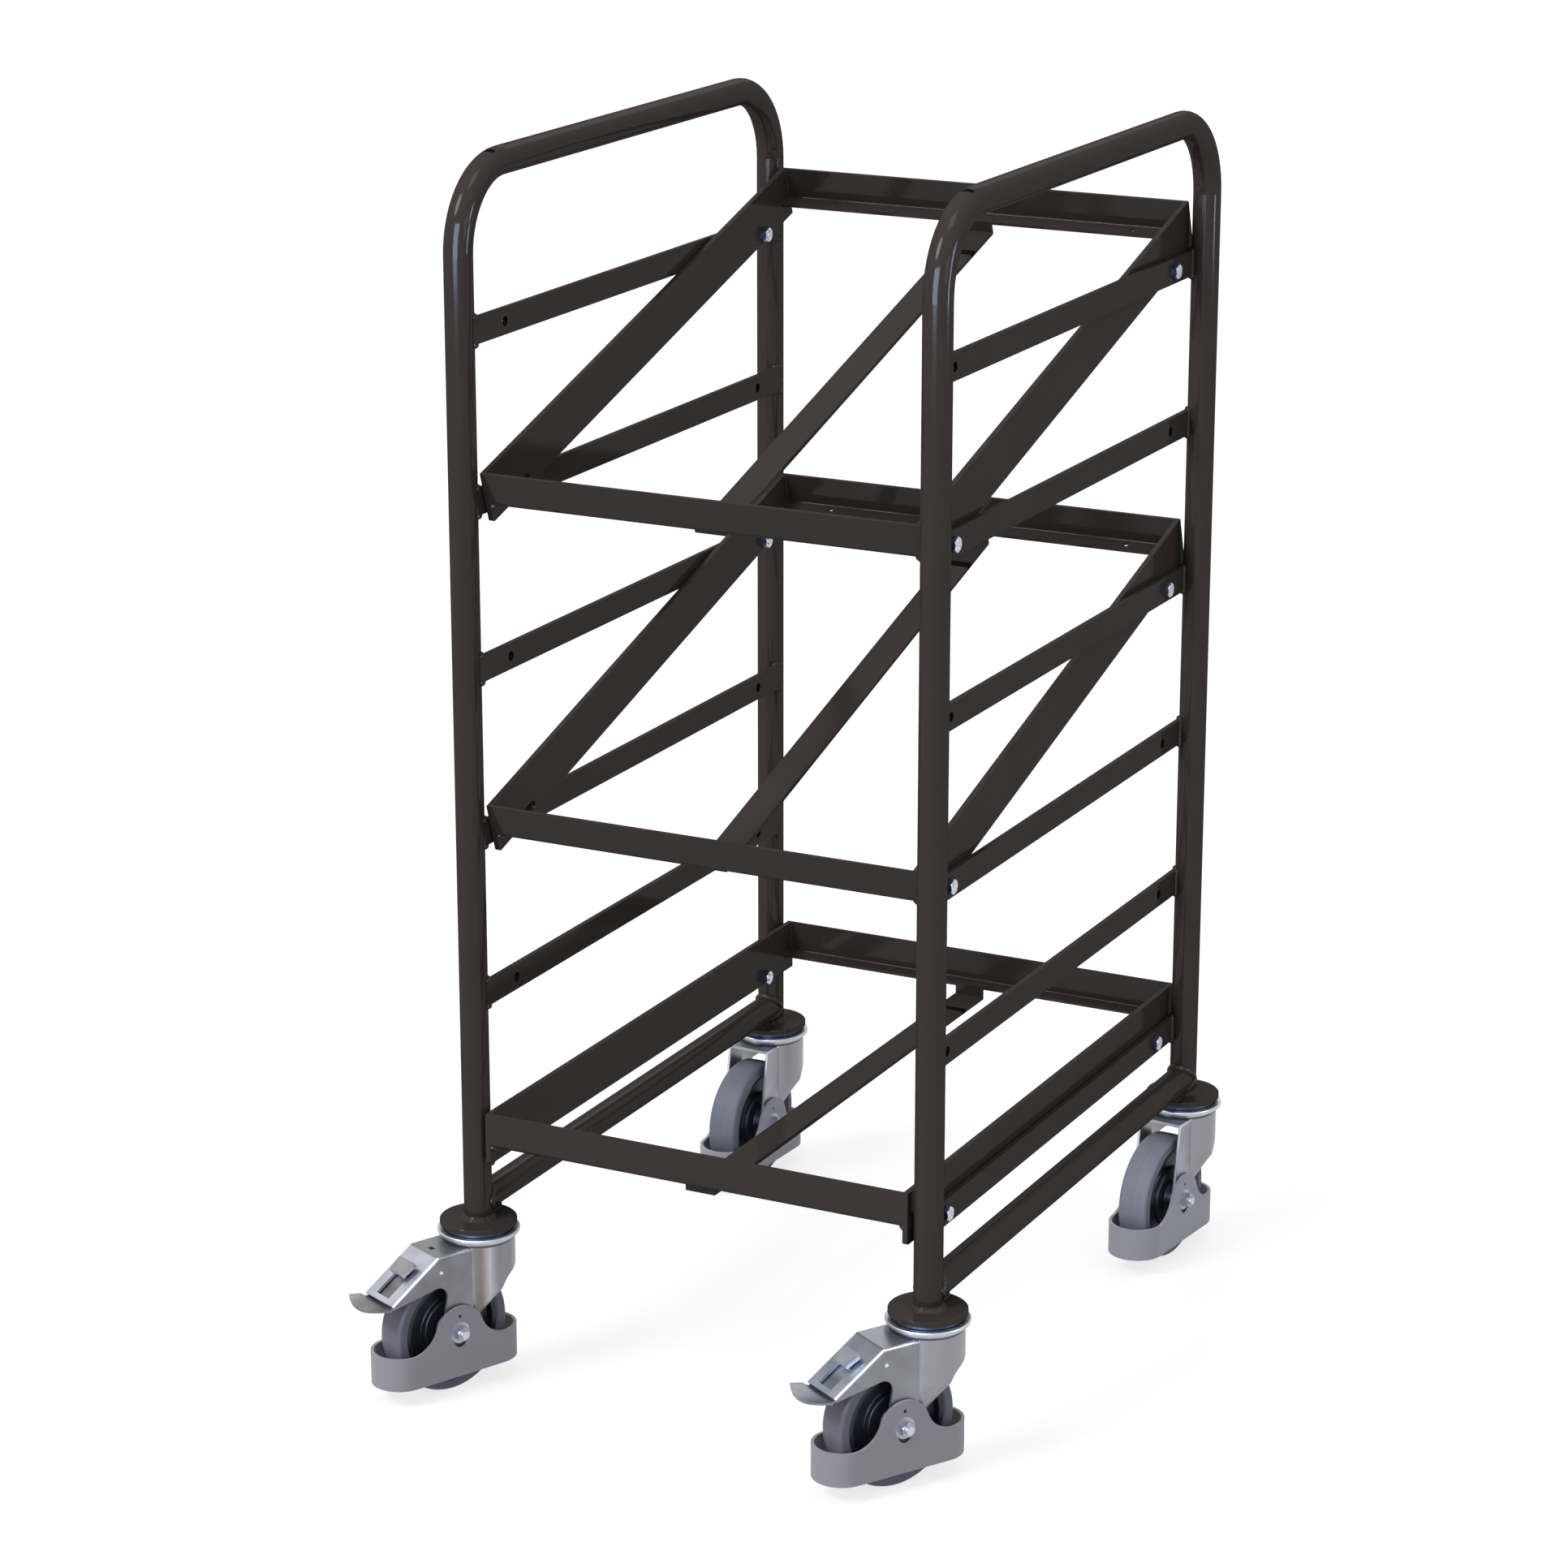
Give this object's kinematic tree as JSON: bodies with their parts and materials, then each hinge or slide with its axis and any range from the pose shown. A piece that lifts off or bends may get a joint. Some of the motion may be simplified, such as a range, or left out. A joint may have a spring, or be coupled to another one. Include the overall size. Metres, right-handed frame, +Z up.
{
  "type": "crate trolley",
  "caption": "Open trolley of two U-shaped tube sides that carries crates on bolted angle shelves, one level and two tilted, on swivel castors with foot guards and brakes on the front pair.",
  "frame": {"origin": "on the floor, midway between the axes of the four uprights", "axes": "+Z up, +X across to the right side as seen from the front, -Y to the front, where the braked castors and the low ends of the tilted shelves are"},
  "size_m": [0.5887, 0.7818, 1.17],
  "materials": {
    "frame_paint": "semi-gloss powder coat, dark brown-grey",
    "shelf_fastener": "zinc-plated bolts and nuts, dull",
    "fastener_zinc": "zinc-plated",
    "castor_zinc": "bright blue-passivated zinc on pressed sheet",
    "guard_plastic": "matt grey moulding",
    "tyre_rubber": "grey non-marking rubber",
    "hub_plastic": "dark glossy moulding"
  },
  "bodies": {
    "frame": {"left_side_tube": "frame_paint", "left_base_tube": "frame_paint", "left_lower_rails": "frame_paint", "left_middle_rails": "frame_paint", "left_upper_rails": "frame_paint", "right_side_tube": "frame_paint", "right_base_tube": "frame_paint", "right_lower_rails": "frame_paint", "right_middle_rails": "frame_paint", "right_upper_rails": "frame_paint", "castor_plates": "frame_paint", "threaded_plugs": "fastener_zinc", "castor_bolts": "fastener_zinc", "top_races": "castor_zinc", "lower_shelf_left_bar": "frame_paint", "lower_shelf_right_bar": "frame_paint", "lower_shelf_front_angle": "frame_paint", "lower_shelf_rear_angle": "frame_paint", "lower_shelf_centre_strip": "frame_paint", "middle_shelf_left_bar": "frame_paint", "middle_shelf_right_bar": "frame_paint", "middle_shelf_front_angle": "frame_paint", "middle_shelf_rear_angle": "frame_paint", "middle_shelf_centre_strip": "frame_paint", "upper_shelf_left_bar": "frame_paint", "upper_shelf_right_bar": "frame_paint", "upper_shelf_front_angle": "frame_paint", "upper_shelf_rear_angle": "frame_paint", "upper_shelf_centre_strip": "frame_paint", "shelf_bolts": "shelf_fastener", "shelf_nuts": "shelf_fastener"},
    "front_left_castor": {"front_left_fork": "castor_zinc", "front_left_swivel_ring": "castor_zinc", "front_left_foot_guard": "guard_plastic", "front_left_axle": "fastener_zinc"},
    "front_left_wheel": {"front_left_tyre": "tyre_rubber", "front_left_hub": "hub_plastic"},
    "front_left_brake": {"front_left_brake_lever": "castor_zinc", "front_left_brake_shoe": "hub_plastic"},
    "front_right_castor": {"front_right_fork": "castor_zinc", "front_right_swivel_ring": "castor_zinc", "front_right_foot_guard": "guard_plastic", "front_right_axle": "fastener_zinc"},
    "front_right_wheel": {"front_right_tyre": "tyre_rubber", "front_right_hub": "hub_plastic"},
    "front_right_brake": {"front_right_brake_lever": "castor_zinc", "front_right_brake_shoe": "hub_plastic"},
    "rear_left_castor": {"rear_left_fork": "castor_zinc", "rear_left_swivel_ring": "castor_zinc", "rear_left_foot_guard": "guard_plastic", "rear_left_axle": "fastener_zinc"},
    "rear_left_wheel": {"rear_left_tyre": "tyre_rubber", "rear_left_hub": "hub_plastic"},
    "rear_right_castor": {"rear_right_fork": "castor_zinc", "rear_right_swivel_ring": "castor_zinc", "rear_right_foot_guard": "guard_plastic", "rear_right_axle": "fastener_zinc"},
    "rear_right_wheel": {"rear_right_tyre": "tyre_rubber", "rear_right_hub": "hub_plastic"}
  },
  "joints": [
    {"name": "front_left_swivel", "type": "hinge", "parent": "frame", "child": "front_left_castor", "pos_m": [-0.2355, -0.306, 0.145], "axis": [0, 0, 1], "continuous": true},
    {"name": "front_left_roll", "type": "hinge", "parent": "front_left_castor", "child": "front_left_wheel", "pos_m": [-0.25319, -0.34464, 0.0625], "axis": [0.9092, -0.4163, 0], "continuous": true},
    {"name": "front_left_brake", "type": "hinge", "parent": "front_left_castor", "child": "front_left_brake", "pos_m": [-0.26049, -0.36058, 0.12652], "axis": [0.9092, -0.4163, 0], "range_deg": [0, 6]},
    {"name": "front_right_swivel", "type": "hinge", "parent": "frame", "child": "front_right_castor", "pos_m": [0.2355, -0.306, 0.145], "axis": [0, 0, 1], "continuous": true},
    {"name": "front_right_roll", "type": "hinge", "parent": "front_right_castor", "child": "front_right_wheel", "pos_m": [0.21361, -0.34243, 0.0625], "axis": [0.8572, -0.515, 0], "continuous": true},
    {"name": "front_right_brake", "type": "hinge", "parent": "front_right_castor", "child": "front_right_brake", "pos_m": [0.20458, -0.35746, 0.12652], "axis": [0.8572, -0.515, 0], "range_deg": [0, 6]},
    {"name": "rear_left_swivel", "type": "hinge", "parent": "frame", "child": "rear_left_castor", "pos_m": [-0.2355, 0.306, 0.145], "axis": [0, 0, 1], "continuous": true},
    {"name": "rear_left_roll", "type": "hinge", "parent": "rear_left_castor", "child": "rear_left_wheel", "pos_m": [-0.23802, 0.26357, 0.0625], "axis": [0.9982, -0.0593, 0], "continuous": true},
    {"name": "rear_right_swivel", "type": "hinge", "parent": "frame", "child": "rear_right_castor", "pos_m": [0.2355, 0.306, 0.145], "axis": [0, 0, 1], "continuous": true},
    {"name": "rear_right_roll", "type": "hinge", "parent": "rear_right_castor", "child": "rear_right_wheel", "pos_m": [0.23106, 0.26373, 0.0625], "axis": [0.9945, -0.1045, 0], "continuous": true}
  ]
}
